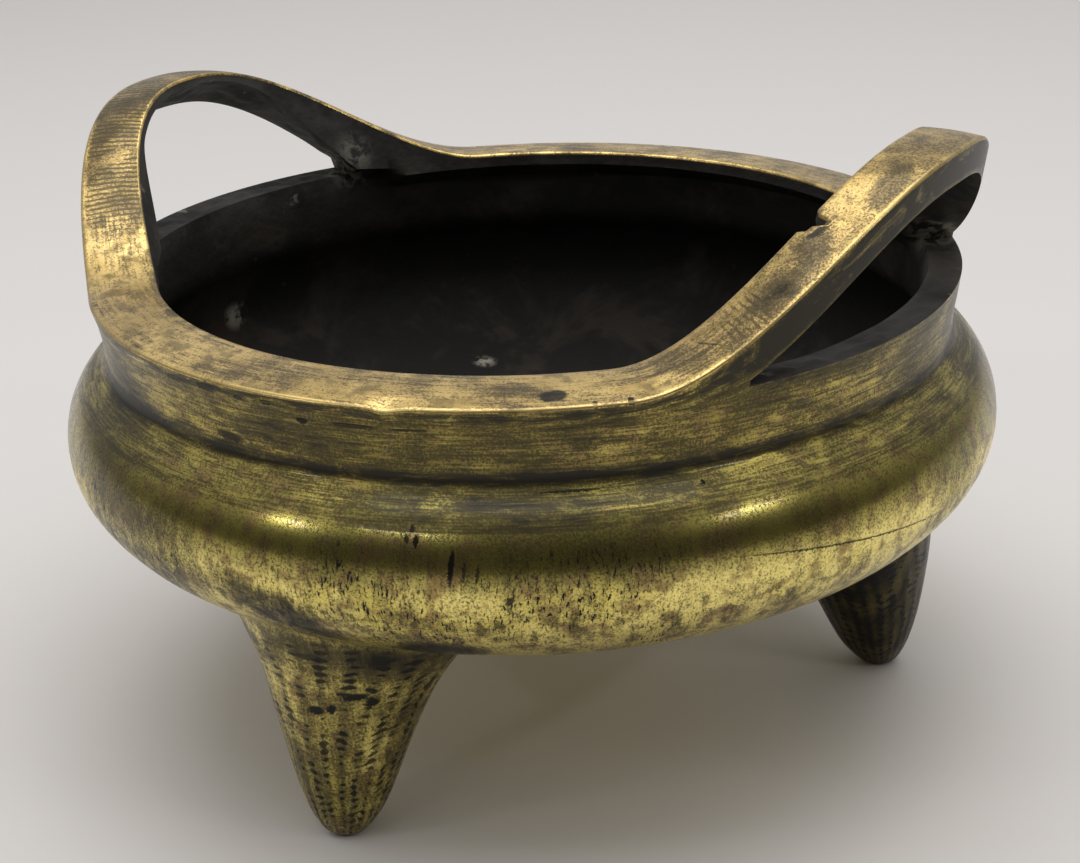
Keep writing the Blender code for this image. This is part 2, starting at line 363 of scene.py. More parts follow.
# The curtain between the neck and the lip's outer edge, and the one inside
neckPoint = rows[neckRow]["points"]
outerX, outerY = leanShift(1.0)
innerX, innerY = leanShift(0.0)
bite = chipBite()
dent = dentDrop()
edge = lip["edge"]
outerEdge = ringPoints(lip["outer"][0], lip["outer"][1] - edge + rise - dent, outerX, outerY)
innerRadius = lip["inner"][0] + bite
innerEdge = ringPoints(innerRadius, lip["inner"][1] - edge + rise, innerX, innerY)
innerFoot = ringPoints(lip["inner"][0], lip["inner"][1] - lip["overhang"])


def between(low, high, share):
    # points part of the way from one ring to another; share is one number or one for each column
    return partWay(low, high, (np.zeros(columnCount) + share)[:, None])


def shareAtHeight(low, high, height):
    return np.clip((height - low[:, 2]) / (high[:, 2] - low[:, 2]), 0.0, 1.0)


def acrossGaps(makeShares):
    # shares along the curtains: as cut in the gaps, and run on evenly between them
    shares = np.zeros(columnCount)
    ends = []
    for side in sides:
        columns = gapColumns[side]
        values = makeShares(side, columns)
        shares[columns] = values
        ends.append((columns[0], values[0]))
        ends.append((columns[-1], values[-1]))
    for (start, low), (end, high) in ((ends[1], ends[2]), (ends[3], ends[0])):
        count = (end - start) % columnCount
        for step in range(1, count):
            shares[(start + step) % columnCount] = partWay(low, high, step / count)
    return shares


def bandShare(side, columns):
    outer, _ = archUnderside(turns[columns], handles[side])
    return shareAtHeight(neckPoint[columns], outerEdge[columns], outer)


def ledgeShare(side, columns):
    height = np.full(len(columns), lip["ledgeHeight"])
    return shareAtHeight(neckPoint[columns], outerEdge[columns], height)


def innerShare(side, columns):
    # the inside comes down to the ledge at both ends of the gap
    outer, inner = archUnderside(turns[columns], handles[side])
    fromStart = (turns[columns] - turns[columns[0]]) % (2 * math.pi)
    fromEnd = (turns[columns[-1]] - turns[columns]) % (2 * math.pi)
    share = smoothStep(0.0, handles["rootBlend"], np.minimum(fromStart, fromEnd))
    return shareAtHeight(innerFoot[columns], innerEdge[columns], partWay(outer, inner, share))


bandLow = acrossGaps(bandShare)
ledgeLow = acrossGaps(ledgeShare)
innerLow = acrossGaps(innerShare)
archShare = smoothStep(handles["finishFrom"], handles["finishTo"], rise)

ledgeLine = between(neckPoint, outerEdge, ledgeLow)
for share in (0.5, 1.0):
    wear = edgeWear["ledge"] * inGap * (share == 1.0)
    run = neckEndRun + curtain["ledgeRun"] * share
    line = between(neckPoint, ledgeLine, share)
    ledgeRow = addRow(line, run=run, rough=castRough["neckEnd"], wear=wear)
bandLine = between(neckPoint, outerEdge, bandLow)
for share in risingShares(density["tipRows"]):
    wear = edgeWear["bandFoot"] * inGap * (share == 1.0)
    line = between(ledgeLine, bandLine, share)
    bandRow = addRow(line, run=neckEndRun + curtain["tipRun"], rough=castRough["tip"], wear=wear)
for share in risingShares(density["bandRows"]):
    wear = edgeWear["bandTop"] * smoothStep(edgeWear["bandTopFrom"], 1.0, share)
    run = neckEndRun + curtain["bandRun"] + curtain["bandLength"] * share
    line = between(bandLine, outerEdge, share)
    outerEdgeRow = addRow(line, run=run, rough=castRough["band"], wear=wear, arch=archShare)

# Rounded outer edge, the flat face of the lip, and its rounded inner edge
for share in risingShares(density["edgeRows"]):
    angle = math.pi / 2 * share
    radius = lip["outer"][0] - edge * (1 - math.cos(angle))
    line = ringPoints(radius, outerEdge[:, 2] + edge * math.sin(angle), outerX, outerY)
    addRow(line, wear=edgeWear["outer"] - edgeWear["outerFade"] * share)
for step in risingShares(density["faceRows"]):
    share = step ** lip["rowSpacing"]
    radius = partWay(lip["outer"][0] - edge, lip["inner"][0] + edge, share)
    radius = radius + bite * smoothStep(lip["biteFrom"], 1.0, share)
    height = partWay(lip["outer"][1], lip["inner"][1], share) + lip["crown"] * math.sin(math.pi * share)
    height = height + rise - dent * (1 - smoothStep(0.0, lip["dentTo"], share))
    rims = smoothStep(edgeWear["rimOuterTo"], 0.0, share) + smoothStep(edgeWear["rimInnerFrom"], 1.0, share)
    line = ringPoints(radius, height, partWay(outerX, innerX, share), partWay(outerY, innerY, share))
    addRow(line, wear=edgeWear["rim"] * rims, across=share, arch=archShare, rough=castRough["face"])
for share in risingShares(density["innerRows"]):
    angle = math.pi / 2 * share
    radius = innerRadius + edge * (1 - math.sin(angle))
    line = ringPoints(radius, innerEdge[:, 2] + edge * math.cos(angle), innerX, innerY)
    innerTurnRow = addRow(line, wear=edgeWear["inner"] - edgeWear["innerFade"] * share, across=1.0)

# Inner edge of the lip and its flare back to the wall
innerLine = between(innerFoot, innerEdge, innerLow)
clearing = np.where(rise > handles["clearRise"], handles["clearSoot"], 1.0)
for share in risingShares(density["innerRows"]):
    soot = smoothStep(0.0, 1.0, share) * clearing
    wear = edgeWear["innerBand"] * (1 - share)
    line = between(innerEdge, innerLine, share)
    innerBandRow = addRow(line, soot=soot, wear=wear, rough=castRough["innerBand"])
ledgeInnerPoint = ringPoints(lip["ledgeTop"], lip["ledgeHeight"])
# beyond each end of a gap the overhang grows in gradually
nearest = np.full(columnCount, math.pi)
for columns in gapColumns.values():
    for end in (columns[0], columns[-1]):
        nearest = np.minimum(nearest, np.abs(turnFrom(turns, turns[end])))
overhangShare = np.where(inGap, 0.0, smoothStep(0.0, handles["lipBlend"], nearest))
innerEnd = between(ledgeInnerPoint, innerFoot, overhangShare)
for share in risingShares(density["tipRows"]):
    ledgeInnerRow = addRow(between(innerLine, innerEnd, share), soot=1.0, rough=castRough["innerBand"])
wallTop = ringPoints(lip["ledgeInner"], lip["ledgeRoot"])
for share in risingShares(density["flareRows"]):
    lastFineRow = addRow(between(innerEnd, wallTop, share), soot=1.0, rough=castRough["bowl"])
print("lip and handles:", len(rows), "rows in all")


def insideOutline():
    # radius and height down the inner wall to the middle of the floor
    wall = bowl["wall"]
    points = [(lip["ledgeInner"], lip["ledgeRoot"]), (lip["ledgeInner"], bowl["neckFoot"][1])]
    reach = bellyRadius - wall - shoulderCentre
    for angle in np.radians(bowl["insideAngles"]):
        radius = shoulderCentre + reach * math.cos(angle)
        points.append((radius, bowl["bellyHeight"] + (bowl["shoulderRise"] - wall) * math.sin(angle)))
    reach = bellyRadius - wall - underCentre
    curve = np.cos(np.linspace(0, math.pi / 2, bowl["insideCurvePoints"])) ** (2 / bowl["underPower"])
    radii = [*(underCentre + reach * curve), *bowl["insideFloorRadii"]]
    points = np.array(points + [(radius, undersideHeight(radius, wall)) for radius in radii])
    run = runAlong(points)
    at = np.linspace(0.0, run[-1], density["insideRows"] + 1)[1:]
    return np.interp(at, run, points[:, 0]), np.interp(at, run, points[:, 1])


vertices = [np.concatenate([row["points"] for row in rows])]
extra = {name: [np.concatenate([row[name] for row in rows])] for name in (*marks, "run", "wrap")}
extra["lipRun"] = [np.tile(lipRun, len(rows))]
faces = {4: [], 3: []}    # quads and triangles, and the finish of each
faceZones = {4: [], 3: []}
zones = ["neckBronze", "bellyBronze", "footBronze", "lipBronze", "sootedSkin"]
sooted = zones.index("sootedSkin")


def addVertices(points, rough=1.0):
    # sooty points of the inside, the ledges and the handles' undersides
    first = sum(len(part) for part in vertices)
    points = np.asarray(points, float).reshape(-1, 3)
    vertices.append(points)
    for mark in marks:
        level = {"soot": 1.0, "rough": rough}.get(mark, 0.0)
        extra[mark].append(np.full(len(points), level))
    for name in ("run", "lipRun"):
        extra[name].append(np.zeros(len(points)))
    extra["wrap"].append(np.zeros((len(points), 3)))
    return np.arange(first, first + len(points))


def addFaces(corners, zone=sooted):
    # corners are four lines of points for quads, three for triangles
    count = len(corners)
    faces[count].append(np.stack(corners, -1).reshape(-1, count))
    faceZones[count].append(np.zeros(len(faces[count][-1]), int) + zone)


def lineAt(row, columns=slice(None)):
    return (row * columnCount + np.arange(columnCount))[columns]


def gridFaces(grid):
    # grid runs from a lower or outer line to an upper or inner one
    for low, high in zip(grid, grid[1:]):
        addFaces([low[:-1], low[1:], high[1:], high[:-1]])


openColumn = np.zeros(columnCount, bool)
for columns in gapColumns.values():
    openColumn[columns[:-1]] = True
for row in range(len(rows) - 1):
    cutByGaps = ledgeRow <= row < bandRow or innerBandRow <= row < ledgeInnerRow
    keep = ~openColumn if cutByGaps else np.ones(columnCount, bool)
    if row >= innerTurnRow:
        name = "sootedSkin"
    elif row >= outerEdgeRow:
        name = "lipBronze"
    else:
        name = "neckBronze" if rows[row]["run"][0] > bellyTopRun else "bellyBronze"
    zone = np.full(columnCount, zones.index(name))
    footed = np.maximum(rows[row]["foot"], rows[row + 1]["foot"])
    zone[np.maximum(footed, np.roll(footed, -1)) > 0.0] = zones.index("footBronze")
    low, high = lineAt(row), lineAt(row + 1)
    corners = [low[keep], np.roll(low, -1)[keep], np.roll(high, -1)[keep], high[keep]]
    addFaces(corners, zone[keep])

# Underside of each handle, ledge below it and the small wall at each end of the gap
allPoints = vertices[0]


def strip(first, last, ripple):
    # a grid of points from one line to another, uneven between them
    grid = [first]
    for share in risingShares(density["crossSteps"])[:-1]:
        points = partWay(allPoints[first], allPoints[last], share)
        swell = ripple * math.sin(math.pi * share)
        for point in points:
            point[2] += swell * noise.noise(Vector(point) * handles["rippleScale"])
        grid.append(addVertices(points, castRough["ledge"]))
    grid.append(last)
    return grid


for columns in gapColumns.values():
    ledgeGrid = strip(lineAt(ledgeRow, columns), lineAt(ledgeInnerRow, columns), handles["ledgeRipple"])
    underGrid = strip(lineAt(bandRow, columns), lineAt(innerBandRow, columns), handles["underRipple"])
    gridFaces(ledgeGrid)
    gridFaces(underGrid[::-1])
    everyPoint = np.concatenate(vertices)
    for end in (0, -1):
        capRows = [np.array([line[end] for line in ledgeGrid])]
        topRow = np.array([line[end] for line in underGrid])
        bottom, top = everyPoint[capRows[0]], everyPoint[topRow]
        for step in range(1, density["tipRows"]):
            points = partWay(bottom, top, step / density["tipRows"])
            made = addVertices(points[1:-1], castRough["gapEnd"])
            outerCorner = lineAt(ledgeRow + step, columns)[end]
            innerCorner = lineAt(ledgeInnerRow - step, columns)[end]
            capRows.append(np.concatenate(([outerCorner], made, [innerCorner])))
        capRows.append(topRow)
        gridFaces(capRows[::-1] if end == 0 else capRows)

# Inner wall and floor, with every second column
insideRadii, insideHeights = insideOutline()
coarseCos, coarseSin = cosTurn[::2], sinTurn[::2]
previous = None
for radius, height in zip(insideRadii, insideHeights):
    points = np.stack([radius * coarseCos, radius * coarseSin, np.full(len(coarseCos), height)], -1)
    ring = addVertices(points, min(1.0, radius / bowl["calmRadius"]) ** 2)
    if previous is None:
        fine = lineAt(lastFineRow)
        left, middle, right = fine[::2], fine[1::2], np.roll(fine, -2)[::2]
        after = np.roll(ring, -1)
        for corners in ((left, middle, ring), (middle, right, after), (middle, after, ring)):
            addFaces(corners)
    else:
        addFaces([previous, np.roll(previous, -1), np.roll(ring, -1), ring])
    previous = ring
insidePole = addVertices([(0.0, 0.0, insideHeights[-1])])[0]
addFaces([previous, np.roll(previous, -1), np.full(len(previous), insidePole)])
outsidePole = addVertices([(0.0, 0.0, floorHeight)])[0]
firstRing = lineAt(0)
addFaces([np.roll(firstRing, -1), firstRing, np.full(columnCount, outsidePole)], zones.index("bellyBronze"))


def buildMesh(name):
    # joins rows, strips and caps into one mesh, without the points that no face uses
    points = np.concatenate(vertices)
    quads, triangles = (np.concatenate(faces[count]) for count in (4, 3))
    used = np.unique(np.concatenate([quads.ravel(), triangles.ravel()]))
    renumber = np.full(len(points), -1)
    renumber[used] = np.arange(len(used))
    points = points[used]
    points[:, 0] += bowl["axisX"]
    mesh = bpy.data.meshes.new(name)
    mesh.from_pydata(points.tolist(), [], renumber[quads].tolist() + renumber[triangles].tolist())
    mesh.polygons.foreach_set("material_index", np.concatenate(faceZones[4] + faceZones[3]))
    for mark in marks + ("run", "lipRun"):
        layer = mesh.attributes.new(mark, "FLOAT", "POINT")
        layer.data.foreach_set("value", np.concatenate(extra[mark])[used].astype(np.float32))
    layer = mesh.attributes.new("wrap", "FLOAT_VECTOR", "POINT")
    layer.data.foreach_set("vector", np.concatenate(extra["wrap"])[used].astype(np.float32).ravel())
    mesh.update()
    mesh.validate()
    return mesh


censerMesh = buildMesh("censerBody")

# Slight unevenness of a hand-finished casting, in metres, stronger on the raw inside
unevenness = {
    "slow": 0.00032, "slowScale": 22, "quick": 0.00005, "quickInside": 0.00030, "quickScale": 95,
    "calmBelow": 0.003, "sharpAngle": math.radians(52),
}


def readValues(source, name, width=1):
    values = np.zeros(len(source) * width)
    source.foreach_get(name, values)
    return values.reshape(-1, width)


def handMade(mesh):
    points, normals = readValues(mesh.vertices, "co", 3), readValues(mesh.vertices, "normal", 3)
    rough, soot = (readValues(mesh.attributes[mark].data, "value") for mark in ("rough", "soot"))
    slow = np.array([[noise.noise(Vector(p) * unevenness["slowScale"])] for p in points])
    quick = np.array([[noise.noise(Vector(p) * unevenness["quickScale"])] for p in points])
    push = slow * unevenness["slow"] + quick * (unevenness["quick"] + unevenness["quickInside"] * soot)
    lifted = smoothStep(0.0, unevenness["calmBelow"], points[:, 2:])
    points += normals * (push * rough * lifted)
    mesh.vertices.foreach_set("co", points.ravel())
    mesh.update()


handMade(censerMesh)
censerMesh.shade_smooth()
censerMesh.set_sharp_from_angle(angle=unevenness["sharpAngle"])
censerBody = bpy.data.objects.new("censerBody", censerMesh)
bpy.context.scene.collection.objects.link(censerBody)
print("censer mesh:", sum(len(p.vertices) - 2 for p in censerMesh.polygons), "triangles")


class Bench:
    # short calls for wiring up one material, or the room
    def __init__(self, owner, ending="Principled BSDF"):
        self.owner = owner
        self.owner.use_nodes = True
        self.tree = owner.node_tree
        self.surface = self.tree.nodes[ending]

    def add(self, kind, inputs, **settings):
        made = self.tree.nodes.new("ShaderNode" + kind)
        for setting, value in settings.items():
            setattr(made, setting, value)
        for socket, value in inputs.items():
            if isinstance(value, bpy.types.NodeSocket):
                self.tree.links.new(value, made.inputs[socket])
            else:
                made.inputs[socket].default_value = value
        return made

    def calc(self, operation, *values):
        return self.add("Math", dict(enumerate(values)), operation=operation).outputs[0]

    def combine(self, operation, values):
        total = values[0]
        for value in values[1:]:
            total = self.calc(operation, total, value)
        return total

    def times(self, *values):
        return self.combine("MULTIPLY", values)

    def most(self, *values):
        return self.combine("MAXIMUM", values)

    def less(self, value, taken):
        return self.calc("SUBTRACT", value, taken)

    def timesPlus(self, value, factor, added):
        return self.calc("MULTIPLY_ADD", value, factor, added)

    def noise(self, vector, scale, detail, roughness=0.55, distortion=0.0):
        inputs = {"Vector": vector, "Scale": scale, "Detail": detail}
        inputs.update({"Roughness": roughness, "Distortion": distortion})
        return self.add("TexNoise", inputs).outputs[0]

    def fit(self, value, low, high):
        # 0 below low, 1 above high, smooth between; falls instead where low is the larger
        inputs = {0: value, 1: low, 2: high, 3: 0.0, 4: 1.0}
        if low > high:
            inputs.update({1: high, 2: low, 3: 1.0, 4: 0.0})
        return self.add("MapRange", inputs, interpolation_type="SMOOTHSTEP").outputs[0]

    def scaled(self, vector, across, along):
        scale = (across, across, along)
        return self.add("VectorMath", {0: vector, 1: scale}, operation="MULTIPLY").outputs[0]

    def streaks(self, vector, across, along, detail, roughness=0.55, distortion=0.0):
        # noise stretched by unlike scales across and along
        return self.noise(self.scaled(vector, across, along), 1, detail, roughness, distortion)

    def join(self, x, y, z):
        return self.add("CombineXYZ", {0: x, 1: y, 2: z}).outputs[0]

    def mix(self, share, first, second):
        # sockets 6 and 7 of the Mix node are its two colours
        colours = {6: first, 7: second}
        inputs = {0: share}
        for socket, colour in colours.items():
            inputs[socket] = (*colour, 1.0) if isinstance(colour, tuple) else colour
        return self.add("Mix", inputs, data_type="RGBA").outputs[2]

    def distance(self, place, centre):
        return self.add("VectorMath", {0: place, 1: centre}, operation="DISTANCE").outputs["Value"]

    def mark(self, name, output="Fac"):
        return self.add("Attribute", {}, attribute_name=name).outputs[output]

    def bump(self, height, strength):
        # height is in millimetres
        inputs = {"Height": height, "Distance": 0.001, "Strength": strength}
        return self.add("Bump", inputs).outputs[0]

    def plug(self, **ends):
        # inputs of the surface, with a space for each underscore
        for socket, value in ends.items():
            self.tree.links.new(value, self.surface.inputs[socket.replace("_", " ")])

    def scar(self, sheet, centre, half, tilt=0.0, soft=0.45):
        # a mark on a flattened sheet of the surface: 1 inside its outline, 0 outside
        inputs = {0: sheet, 1: (*centre, 0.0), 2: (0.0, 0.0, math.radians(tilt)), 3: (*half, 1.0)}
        inside = self.add("Mapping", inputs, vector_type="TEXTURE").outputs[0]
        length = self.add("VectorMath", {0: inside}, operation="LENGTH").outputs["Value"]
        return self.fit(length, 1.0 + soft, 1.0 - soft)


# Worn bronze: gold shows wherever the fine dark patina has gone; colours are linear
bronze = {
    "gold": (0.58, 0.465, 0.118), "deepGold": (0.35, 0.282, 0.056), "olive": (0.30, 0.290, 0.055),
    "brown": (0.145, 0.122, 0.040), "pepper": (0.060, 0.046, 0.018), "black": (0.012, 0.011, 0.008),
    "red": (0.37, 0.260, 0.090), "edge": (0.66, 0.50, 0.20),
    # scale, detail, roughness and distortion of each field of noise
    "grain": (1900, 1.5, 0.85), "clouds": (26, 3.5, 0.66, 0.3), "tint": (170, 2, 0.7),
    # where each one starts to show, and where it shows in full
    "brownShows": (0.34, 0.74), "blackShows": (0.68, 0.88), "pepperShows": (0.36, 0.68),
    "redShows": (0.46, 0.66), "deepShows": (0.42, 0.62), "edgeShows": (0.97, 1.27),
    "pepperByLevel": 0.55, "pepperCover": 0.80, "tintInEdge": 0.5, "brownPatina": 0.5, "pepperPatina": 0.7,
    "roughness": 0.32, "edgeRoughness": 0.26, "patinaRoughness": 0.52, "cloudRoughness": 0.10,
    "patinaLoss": 0.12, "polish": 0.12, "polishedBump": 0.9, "wax": 0.20, "waxRoughness": 0.10,
    "grainHeight": 0.05, "ragged": 0.0011, "scarSoft": 0.25, "stainSoft": 0.40,
}


class BronzeBench(Bench):
    def __init__(self, name):
        super().__init__(bpy.data.materials.new(name))
        whole = self.add("TexCoord", {}).outputs["Object"]
        moved = self.add("VectorMath", {0: whole, 1: (bowl["axisX"], 0.0, 0.0)}, operation="SUBTRACT")
        self.place = moved.outputs[0]
        self.xyz = self.add("SeparateXYZ", {0: self.place}).outputs
        self.turn = self.calc("ARCTAN2", self.xyz["Y"], self.xyz["X"])
        self.run = self.mark("run")
        self.wear = self.mark("wear")
        east, north = self.calc("COSINE", self.turn), self.calc("SINE", self.turn)
        self.around = self.join(east, north, self.calc("DIVIDE", self.run, bellyRadius))
        self.grain = self.noise(self.place, *bronze["grain"])
        self.clouds = self.noise(self.place, *bronze["clouds"])
        self.tint = self.noise(self.place, *bronze["tint"])
        self.height = self.times(self.less(self.grain, 0.5), -bronze["grainHeight"])
        self.scars = 0.0

    def push(self, level, signal, amount, middle=0.5):
        # adds a signal, centred on its middle, to the level that decides where patina lies
        return self.timesPlus(self.less(signal, middle), amount, level)

    def raised(self, level, signal, amount):
        # the level raised by an amount where the signal is 1
        return self.timesPlus(signal, amount, level)

    def carve(self, mask, depth):
        # depth in millimetres
        self.height = self.timesPlus(mask, -depth, self.height)

    def sheet(self, angle, radius, y):
        # the surface rolled flat, a little ragged so that no mark has a ruled edge
        ragged = self.times(self.less(self.grain, 0.5), bronze["ragged"])
        return self.join(self.timesPlus(angle, radius, ragged), self.calc("ADD", y, ragged), 0.0)

    def shapes(self, sheet, listed, radius, soft):
        # each listed shape as a mask, with its darkness
        for at, high, halfX, halfY, tilt, dark in listed:
            centre = (math.radians(at) * radius, high)
            yield self.scar(sheet, centre, (halfX, halfY), tilt, soft), dark

    def scarAll(self, sheet, scars, radius, within=1.0):
        for shape, dark in self.shapes(sheet, scars, radius, bronze["scarSoft"]):
            self.scars = self.most(self.scars, self.times(shape, dark))
        self.scars = self.times(self.scars, within)

    def stain(self, level, sheet, stains):
        for shape, dark in self.shapes(sheet, stains, bellyRadius, bronze["stainSoft"]):
            level = self.raised(level, shape, dark)
        return level

    def bare(self, gold=bronze["gold"], deep=bronze["deepGold"], shows=bronze["deepShows"]):
        return self.mix(self.fit(self.clouds, *shows), gold, deep)

    def coat(self, level, fine, bare, brown=bronze["brown"], deepest=bronze["black"]):
        # bare metal, brown and black by level, peppered where the fine signal is high;
        # returns the colour and how much of it is patina
        dark = self.fit(level, *bronze["brownShows"])
        black = self.fit(level, *bronze["blackShows"])
        pepper = self.fit(self.push(fine, level, bronze["pepperByLevel"]), *bronze["pepperShows"])
        colour = self.mix(self.fit(self.tint, *bronze["redShows"]), bare, bronze["red"])
        colour = self.mix(dark, colour, brown)
        colour = self.mix(self.times(pepper, bronze["pepperCover"]), colour, bronze["pepper"])
        colour = self.mix(black, colour, deepest)
        brownPatina = self.times(dark, bronze["brownPatina"])
        return colour, self.most(brownPatina, self.times(pepper, bronze["pepperPatina"]), black)

    def finish(self, colour, patina, polish=0.0, depth=0.30):
        # polish is 0 to 1; depth is that of the scars, in millimetres
        colour = self.mix(self.scars, colour, bronze["black"])
        bright = self.fit(self.timesPlus(self.tint, bronze["tintInEdge"], self.wear), *bronze["edgeShows"])
        colour = self.mix(bright, colour, bronze["edge"])
        dull = self.most(patina, self.scars)
        duller = bronze["patinaRoughness"] - bronze["roughness"]
        brighter = bronze["roughness"] - bronze["edgeRoughness"]
        uneven = bronze["cloudRoughness"]
        roughness = self.timesPlus(dull, duller, bronze["roughness"])
        roughness = self.less(roughness, self.times(bright, brighter))
        roughness = self.timesPlus(self.clouds, uneven, self.less(roughness, uneven / 2))
        roughness = self.less(roughness, self.times(polish, bronze["polish"]))
        self.carve(self.scars, depth)
        metallic = self.timesPlus(dull, -bronze["patinaLoss"], 1.0)
        bump = self.bump(self.height, self.less(1.0, self.times(polish, bronze["polishedBump"])))
        self.plug(Base_Color=colour, Roughness=roughness, Metallic=metallic, Normal=bump)
        self.surface.inputs["Coat Weight"].default_value = bronze["wax"]
        self.surface.inputs["Coat Roughness"].default_value = bronze["waxRoughness"]
        return self.owner


# Shoulder, neck and the outer sides of the handles
neck = {
    # groove sets the painted shade along the groove
    "base": 0.58, "lines": 0.34, "smears": 0.80, "clouds": 0.50, "groove": 0.25, "handle": 0.17,
    # underLip sets the painted shade on the band below the lip's edge
    "linesInPepper": 0.70, "underLip": 0.16, "grey": (0.034, 0.030, 0.020), "lineDepth": 0.05,
    # scales across and along, detail, roughness and distortion
    "lineField": (7.0, 230, 3, 0.72), "smearField": (8.5, 34, 4, 0.70, 0.9),
    # runs, in metres: the streaks' blurred start, the painted shade along the groove, the painted shade on
    # the band below the lip's edge
    "startBlur": 0.002, "grooveOffset": 0.0012, "grooveWide": (0.0024, 0.0002),
    "stripBelow": (0.0036, 0.0026), "stripAbove": (0.0, 0.0008),
    "greenRun": (0.026, 0.012), "polishRun": (0.019, 0.013), "green": 0.6,
    "grooveShows": (0.20, 0.42), "stripShows": (0.36, 0.52),
    # turn and run of the middle, half width and half height, tilt, darkness
    "scars": [
        (-84.96, 0.0346, 0.0014, 0.0014, 10, 1.0), (-39.0, 0.0194, 0.0005, 0.0005, 0, 1.0),
        (-54.2, 0.0209, 0.0062, 0.00022, 0, 0.9), (-78.5, 0.0352, 0.0050, 0.0012, 0, 0.75),
        (-71.8, 0.0350, 0.0036, 0.0007, 0, 0.75), (-96.5, 0.0265, 0.0042, 0.0009, -4, 0.8),
        (-71.2, 0.0131, 0.0005, 0.0010, 0, 0.9), (-98.6, 0.0405, 0.0032, 0.0012, 0, 0.8),
        (-89.5, 0.0403, 0.0014, 0.0008, 0, 0.8), (-93.5, 0.0400, 0.0012, 0.0007, 0, 0.7),
        (-104.0, 0.0400, 0.0040, 0.0009, 0, 0.6),
    ],
    # broad stains: the same, with how much darker
    "stains": [
        (-51.6, 0.0345, 0.0092, 0.0052, 0, 0.16), (-43.5, 0.0190, 0.0060, 0.0046, 0, 0.10),
        (-90.0, 0.0300, 0.0120, 0.0030, 0, 0.14), (-120.0, 0.0240, 0.0140, 0.0060, 0, 0.12),
        (-20.0, 0.0370, 0.0200, 0.0030, 0, 0.16), (12.0, 0.0330, 0.0100, 0.0050, 20, 0.14),
        (-66.0, 0.0165, 0.0260, 0.0050, 0, 0.11),
    ],
}


def makeNeckBronze():
    bench = BronzeBench("neckBronze")
    run, turn = bench.run, bench.turn
    arch = bench.mark("arch")
    lines = bench.streaks(bench.around, *neck["lineField"])
    smears = bench.streaks(bench.around, *neck["smearField"])
    lineShare = bench.fit(run, bellyTopRun - neck["startBlur"], bellyTopRun + neck["startBlur"])
    level = bench.push(neck["base"], bench.clouds, neck["clouds"])
    level = bench.push(level, lines, bench.times(lineShare, neck["lines"]))
    fine = bench.push(bench.grain, lines, bench.times(lineShare, neck["linesInPepper"]))
    level = bench.push(level, smears, bench.times(lineShare, neck["smears"]))
    # painted shade along the groove, broken up by the smears
    grooveNear = bench.calc("ABSOLUTE", bench.less(run, grooveRun + neck["grooveOffset"]))
    grooveShade = bench.fit(grooveNear, *neck["grooveWide"])
    grooveShade = bench.times(grooveShade, bench.fit(smears, *neck["grooveShows"]))
    level = bench.raised(level, grooveShade, neck["groove"])
    sheet = bench.sheet(turn, bellyRadius, run)
    level = bench.stain(level, sheet, neck["stains"])
    bench.scarAll(sheet, neck["scars"], bellyRadius)
    level = bench.raised(level, arch, neck["handle"])
    # painted shade on the band below the lip's edge, broken up by the smears
    lipEnd = neckEndRun + curtain["bandRun"] + curtain["bandLength"]
    below = bench.fit(run, *(lipEnd - distance for distance in neck["stripBelow"]))
    above = bench.fit(run, *(lipEnd - distance for distance in neck["stripAbove"]))
    shade = bench.times(below, above, bench.fit(smears, *neck["stripShows"]))
    level = bench.raised(level, shade, neck["underLip"])
    green = bench.times(bench.fit(run, *neck["greenRun"]), bench.clouds, neck["green"])
    bare = bench.mix(green, bench.bare(), bronze["olive"])
    colour, patina = bench.coat(level, fine, bare, deepest=neck["grey"])
    bench.carve(bench.times(bench.less(lines, 0.5), lineShare), neck["lineDepth"])
    return bench.finish(colour, patina, bench.fit(run, *neck["polishRun"]))


# Belly below its polished band: upright pits, smudges and blotches
belly = {
    "base": 0.38, "bandBase": 0.50, "clouds": 0.55, "smudges": 0.50, "brushed": 0.34, "blotches": 0.14,
    "gold": (0.95, 0.805, 0.265), "deepGold": (0.74, 0.615, 0.150), "stain": 0.24,
    # scales across and along, detail and roughness
    "pitField": (190, 62, 2, 0.6), "smudgeField": (34, 11, 4, 0.64), "blotchField": (34, 36, 1.5, 0.5),
    # runs, in metres, over which each one comes in
    "lowRun": (bellyTopRun - 0.0005, bellyTopRun - 0.006), "bandRun": (-0.004, 0.006),
    "bareRun": (-0.001, 0.006), "blotchLow": (-0.022, -0.013), "blotchHigh": (-0.001, -0.007),
    "clusterShows": (0.42, 0.56), "pitShows": (0.60, 0.64), "blotchShows": (0.48, 0.58),
    # the pits are thickest at this turn; the cosine from it at which they come in
    "pittedTurn": math.radians(-88), "pittedShows": (0.45, 0.75), "brushedElsewhere": 0.3,
    "scars": [
        (-66.9, 0.0061, 0.0006, 0.0036, -6, 1.0), (-71.7, 0.0112, 0.0004, 0.0010, 14, 0.9),
        (-70.7, 0.0107, 0.0005, 0.0015, -4, 1.0), (-65.6, 0.0052, 0.0004, 0.0020, -5, 0.8),
        (-64.2, 0.0050, 0.0004, 0.0017, -5, 0.8), (-21.5, -0.0008, 0.0300, 0.00020, -8.0, 0.9),
        (-61.0, -0.0010, 0.0006, 0.0011, -40, 0.9),
    ],
    "stains": [
        (-87.5, -0.0095, 0.0130, 0.0055, -24, 0.26), (-69.5, -0.0200, 0.0100, 0.0056, 0, 0.50),
        # the entry at -108 degrees is painted shade on the left of the lower belly
        (-82.5, -0.0165, 0.0050, 0.0030, 0, 0.20), (-108.0, -0.0040, 0.0260, 0.0110, 0, 0.15),
    ],
}


